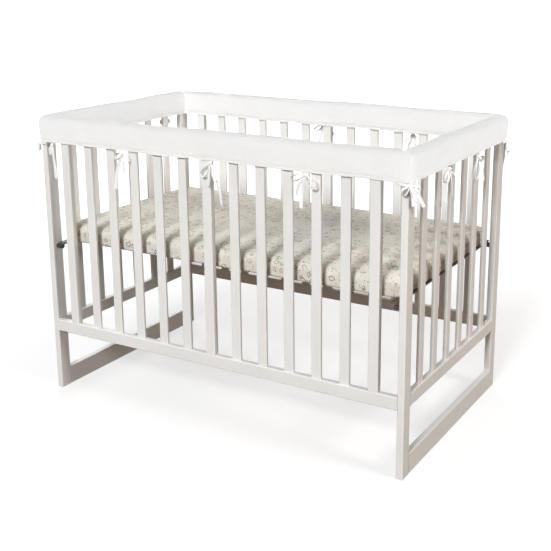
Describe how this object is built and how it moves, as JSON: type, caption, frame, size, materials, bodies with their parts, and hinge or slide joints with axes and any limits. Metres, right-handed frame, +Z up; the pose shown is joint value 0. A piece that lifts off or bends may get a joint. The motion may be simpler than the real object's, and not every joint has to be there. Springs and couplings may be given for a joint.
{
  "type": "crib rail cover on a crib",
  "caption": "Padded white cloth cover in four sections over the top rails of a crib, tied under the rail with bows, on the slatted crib it fits.",
  "frame": {"origin": "on the floor, under the middle of the crib", "axes": "+X along the crib's length towards the picture's right, +Y from the front to the back, +Z up"},
  "size_m": [1.2937, 0.7658, 0.8996],
  "materials": {
    "padded_cloth": "matt white cotton over soft padding",
    "tie_tape": "matt white cotton tape",
    "mattress_cloth": null,
    "base_board": "plain board",
    "painted_wood": "satin greige paint on solid wood"
  },
  "bodies": {
    "root": {"bottom_rail_back": "painted_wood", "bottom_rail_front": "painted_wood", "cover_back": "padded_cloth", "cover_front": "padded_cloth", "cover_left": "padded_cloth", "cover_right": "padded_cloth", "end_panel_left": "painted_wood", "end_panel_right": "painted_wood", "mattress": "mattress_cloth", "mattress_base": "base_board", "post_back_left": "painted_wood", "post_back_right": "painted_wood", "post_front_left": "painted_wood", "post_front_right": "painted_wood", "slat_back_1": "painted_wood", "slat_back_10": "painted_wood", "slat_back_11": "painted_wood", "slat_back_12": "painted_wood", "slat_back_13": "painted_wood", "slat_back_2": "painted_wood", "slat_back_3": "painted_wood", "slat_back_4": "painted_wood", "slat_back_5": "painted_wood", "slat_back_6": "painted_wood", "slat_back_7": "painted_wood", "slat_back_8": "painted_wood", "slat_back_9": "painted_wood", "slat_front_1": "painted_wood", "slat_front_10": "painted_wood", "slat_front_11": "painted_wood", "slat_front_12": "painted_wood", "slat_front_13": "painted_wood", "slat_front_2": "painted_wood", "slat_front_3": "painted_wood", "slat_front_4": "painted_wood", "slat_front_5": "painted_wood", "slat_front_6": "painted_wood", "slat_front_7": "painted_wood", "slat_front_8": "painted_wood", "slat_front_9": "painted_wood", "sled_rail_left": "painted_wood", "sled_rail_right": "painted_wood", "tie_back_7": "tie_tape", "tie_back_8": "tie_tape", "tie_corner_back_right": "tie_tape", "tie_corner_front_left": "tie_tape", "tie_corner_front_right": "tie_tape", "tie_front_1": "tie_tape", "tie_front_2": "tie_tape", "tie_front_3": "tie_tape", "tie_front_4": "tie_tape", "tie_left_10": "tie_tape", "tie_left_9": "tie_tape", "tie_right_5": "tie_tape", "tie_right_6": "tie_tape", "top_rail_back": "painted_wood", "top_rail_front": "painted_wood"}
  },
  "joints": []
}
